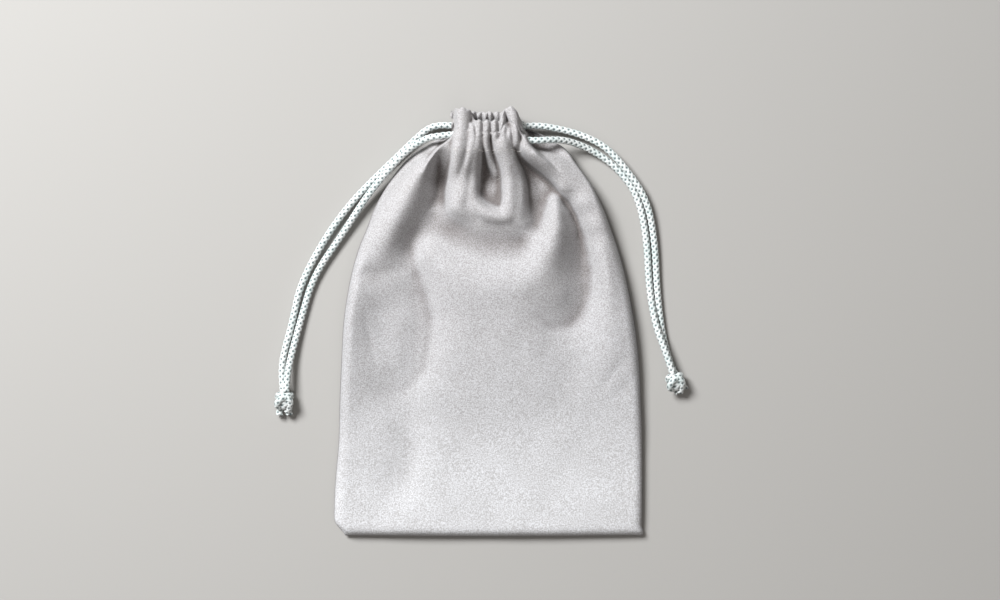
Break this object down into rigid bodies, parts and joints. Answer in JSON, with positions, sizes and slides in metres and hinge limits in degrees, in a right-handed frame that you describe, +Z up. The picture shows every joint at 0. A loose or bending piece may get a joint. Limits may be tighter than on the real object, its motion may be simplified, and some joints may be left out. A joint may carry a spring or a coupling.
{
  "type": "drawstring gift pouch",
  "caption": "Small flat cloth pouch with its neck gathered shut by two drawcords that run through a hemmed casing and hang out as a knotted pair on each side.",
  "frame": {"origin": "middle of the cloth's footprint, on the surface that the pouch lies on", "axes": "+X to the right, +Y from the closed bottom up to the mouth, +Z up through the front cloth"},
  "size_m": [0.163, 0.17, 0.0169],
  "materials": {
    "velour": "short soft nap, matt",
    "cloth_inside": "bare knitted back of the cloth, matt",
    "cord": "braided polyester, slight sheen",
    "thread": "sewing thread, slight sheen"
  },
  "bodies": {
    "pouch": {"front_panel": "velour", "back_panel": "velour", "front_casing": "velour", "back_casing": "velour", "left_seam_allowance": "cloth_inside", "right_seam_allowance": "cloth_inside", "bottom_seam_allowance": "cloth_inside", "front_casing_stitches": "thread", "back_casing_stitches": "thread", "left_seam_thread": "thread", "right_seam_thread": "thread", "bottom_seam_thread": "thread"},
    "left_drawcord": {"left_drawcord_loop": "cord"},
    "left_tail": {"left_front_strand": "cord", "left_back_strand": "cord", "left_knot": "cord", "left_cord_ends": "cord"},
    "right_drawcord": {"right_drawcord_loop": "cord"},
    "right_tail": {"right_front_strand": "cord", "right_back_strand": "cord", "right_knot": "cord", "right_cord_ends": "cord"}
  },
  "joints": [
    {"name": "left_draw", "type": "slide", "parent": "pouch", "child": "left_drawcord", "axis": [-1, 0, 0], "range_m": [0, 0.004]},
    {"name": "left_swing", "type": "hinge", "parent": "left_drawcord", "child": "left_tail", "pos_m": [-0.0175, 0.0781, 0.0083], "axis": [0, 0, 1], "range_deg": [-60, 0]},
    {"name": "right_draw", "type": "slide", "parent": "pouch", "child": "right_drawcord", "axis": [1, 0, 0], "range_m": [0, 0.004]},
    {"name": "right_swing", "type": "hinge", "parent": "right_drawcord", "child": "right_tail", "pos_m": [0.0175, 0.0745, 0.0083], "axis": [0, 0, 1], "range_deg": [0, 60]}
  ]
}
